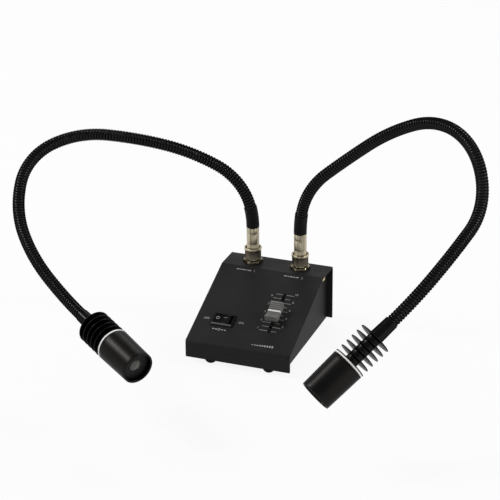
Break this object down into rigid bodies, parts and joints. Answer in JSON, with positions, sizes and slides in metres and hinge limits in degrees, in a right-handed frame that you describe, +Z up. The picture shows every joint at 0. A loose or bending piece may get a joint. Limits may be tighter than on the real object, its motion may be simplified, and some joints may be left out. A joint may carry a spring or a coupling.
{
  "type": "dual gooseneck illuminator",
  "caption": "Sloping black control box with a rocker switch and a fader, carrying two ribbed gooseneck arms that end in finned cylindrical lamp heads.",
  "frame": {"origin": "centre of the control box's footprint, on the plane its feet rest on", "axes": "+X to the right seen from the front, +Y from the front lip to the rear wall, +Z up"},
  "size_m": [0.3762, 0.2443, 0.205],
  "materials": {
    "housing_paint": "satin black powder coat, fine texture",
    "chassis_paint": "satin dark brown-grey",
    "nickel": "satin nickel plate, warm",
    "screw_metal": "yellow passivated",
    "steel": "plain",
    "contact": "gold flashed",
    "white_plastic": "matte",
    "arm_skin": "gloss black, ribbed",
    "sleeve_skin": "matte black",
    "lamp_black": "black anodised, satin",
    "tunnel_black": "matte black",
    "lens_clear": "frosted",
    "lamp_pcb": "white-masked board",
    "black_plastic": "semi-gloss black",
    "cap_grey": "matte grey",
    "pcb": "green solder mask",
    "foot_rubber": "matte black"
  },
  "bodies": {
    "base": {"cover": "housing_paint", "chassis": "chassis_paint", "side_screws": "screw_metal", "feet": "foot_rubber", "left_jack": "nickel", "right_jack": "nickel", "jack_nuts": "nickel", "lock_washers": "nickel", "jack_insulators": "white_plastic", "jack_contacts": "contact", "switch_housing": "black_plastic", "switch_terminals": "contact", "fader_case": "steel", "circuit_board": "pcb", "standoffs": "steel", "board_screws": "steel", "power_inlet": "black_plastic", "inlet_nut": "steel", "inlet_pin": "contact"},
    "fader": {"fader_lever": "steel", "fader_cap": "cap_grey"},
    "rocker": {"rocker": "black_plastic"},
    "left_nut": {"left_coupling_nut": "nickel"},
    "left_arm_1": {"left_neck_1": "arm_skin", "left_plug_barrel": "nickel", "left_plug_contact": "contact", "left_neck_sleeve": "sleeve_skin"},
    "left_arm_2": {"left_neck_2": "arm_skin"},
    "left_arm_3": {"left_neck_3": "arm_skin"},
    "left_arm_4": {"left_neck_4": "arm_skin"},
    "left_arm_5": {"left_neck_5": "arm_skin"},
    "left_arm_6": {"left_neck_6": "arm_skin"},
    "left_arm_7": {"left_neck_7": "arm_skin"},
    "left_arm_8": {"left_neck_8": "arm_skin", "left_lamp_sleeve": "sleeve_skin", "left_heat_sink": "lamp_black", "left_spacer_ring": "white_plastic", "left_lamp_barrel": "lamp_black", "left_reflector": "tunnel_black", "left_lens": "lens_clear", "left_lamp_board": "lamp_pcb"},
    "right_nut": {"right_coupling_nut": "nickel"},
    "right_arm_1": {"right_neck_1": "arm_skin", "right_plug_barrel": "nickel", "right_plug_contact": "contact", "right_neck_sleeve": "sleeve_skin"},
    "right_arm_2": {"right_neck_2": "arm_skin"},
    "right_arm_3": {"right_neck_3": "arm_skin"},
    "right_arm_4": {"right_neck_4": "arm_skin"},
    "right_arm_5": {"right_neck_5": "arm_skin"},
    "right_arm_6": {"right_neck_6": "arm_skin"},
    "right_arm_7": {"right_neck_7": "arm_skin"},
    "right_arm_8": {"right_neck_8": "arm_skin", "right_lamp_sleeve": "sleeve_skin", "right_heat_sink": "lamp_black", "right_spacer_ring": "white_plastic", "right_lamp_barrel": "lamp_black", "right_reflector": "tunnel_black", "right_lens": "lens_clear", "right_lamp_board": "lamp_pcb"}
  },
  "joints": [
    {"name": "left_nut_turn", "type": "hinge", "parent": "base", "child": "left_nut", "pos_m": [-0.0205, 0.03875, 0.0588], "axis": [0, 0, 1], "range_deg": [-70, 0]},
    {"name": "left_swivel", "type": "hinge", "parent": "base", "child": "left_arm_1", "pos_m": [-0.0205, 0.03875, 0.0608], "axis": [0, 0, 1], "range_deg": [-30, 30]},
    {"name": "left_bend_1", "type": "hinge", "parent": "left_arm_1", "child": "left_arm_2", "pos_m": [-0.04905, 0.03218, 0.13544], "axis": [0.281, -0.9379, 0.2036], "range_deg": [-20, 20]},
    {"name": "left_bend_2", "type": "hinge", "parent": "left_arm_2", "child": "left_arm_3", "pos_m": [-0.09118, 0.02295, 0.15104], "axis": [-0.2021, 0.9647, 0.1688], "range_deg": [-20, 8]},
    {"name": "left_bend_3", "type": "hinge", "parent": "left_arm_3", "child": "left_arm_4", "pos_m": [-0.13303, 0.00642, 0.15992], "axis": [-0.4365, 0.5357, -0.7229], "range_deg": [-20, 20]},
    {"name": "left_bend_4", "type": "hinge", "parent": "left_arm_4", "child": "left_arm_5", "pos_m": [-0.16724, -0.02335, 0.15852], "axis": [0.4123, -0.5241, 0.7452], "range_deg": [-20, 14]},
    {"name": "left_bend_5", "type": "hinge", "parent": "left_arm_5", "child": "left_arm_6", "pos_m": [-0.17799, -0.06134, 0.13775], "axis": [0.9894, 0.1088, 0.0963], "range_deg": [-20, 3]},
    {"name": "left_bend_6", "type": "hinge", "parent": "left_arm_6", "child": "left_arm_7", "pos_m": [-0.16085, -0.09422, 0.11128], "axis": [-0.4241, 0.2939, -0.8566], "range_deg": [-20, 20]},
    {"name": "left_bend_7", "type": "hinge", "parent": "left_arm_7", "child": "left_arm_8", "pos_m": [-0.12919, -0.11737, 0.08766], "axis": [0.2802, -0.5261, 0.803], "range_deg": [-20, 10]},
    {"name": "right_nut_turn", "type": "hinge", "parent": "base", "child": "right_nut", "pos_m": [0.0205, 0.03875, 0.0588], "axis": [0, 0, 1], "range_deg": [-70, 0]},
    {"name": "right_swivel", "type": "hinge", "parent": "base", "child": "right_arm_1", "pos_m": [0.0205, 0.03875, 0.0608], "axis": [0, 0, 1], "range_deg": [-30, 30]},
    {"name": "right_bend_1", "type": "hinge", "parent": "right_arm_1", "child": "right_arm_2", "pos_m": [0.04402, 0.03385, 0.13947], "axis": [0.5849, 0.4812, -0.6529], "range_deg": [-20, 14]},
    {"name": "right_bend_2", "type": "hinge", "parent": "right_arm_2", "child": "right_arm_3", "pos_m": [0.07899, 0.03176, 0.16926], "axis": [0.5079, -0.5151, -0.6905], "range_deg": [-20, 20]},
    {"name": "right_bend_3", "type": "hinge", "parent": "right_arm_3", "child": "right_arm_4", "pos_m": [0.11729, 0.02468, 0.19346], "axis": [-0.4277, -0.7473, 0.5085], "range_deg": [-20, 20]},
    {"name": "right_bend_4", "type": "hinge", "parent": "right_arm_4", "child": "right_arm_5", "pos_m": [0.15751, 0.00526, 0.19875], "axis": [0.4576, 0.7676, -0.4488], "range_deg": [-20, 20]},
    {"name": "right_bend_5", "type": "hinge", "parent": "right_arm_5", "child": "right_arm_6", "pos_m": [0.18393, -0.02352, 0.17646], "axis": [0.7571, 0.6219, -0.1998], "range_deg": [-20, 20]},
    {"name": "right_bend_6", "type": "hinge", "parent": "right_arm_6", "child": "right_arm_7", "pos_m": [0.18503, -0.05908, 0.14887], "axis": [-0.6984, -0.128, 0.7042], "range_deg": [-20, 20]},
    {"name": "right_bend_7", "type": "hinge", "parent": "right_arm_7", "child": "right_arm_8", "pos_m": [0.16981, -0.09646, 0.12698], "axis": [-0.7566, 0.5932, -0.275], "range_deg": [-20, 20]},
    {"name": "fader_slide", "type": "slide", "parent": "base", "child": "fader", "axis": [0, 0.9275, 0.3737], "range_m": [-0.0156, 0.0244]},
    {"name": "rocker_tilt", "type": "hinge", "parent": "base", "child": "rocker", "pos_m": [-0.0207, -0.02742, 0.0261], "axis": [0, 0.9275, 0.3737], "range_deg": [0, 16]}
  ]
}
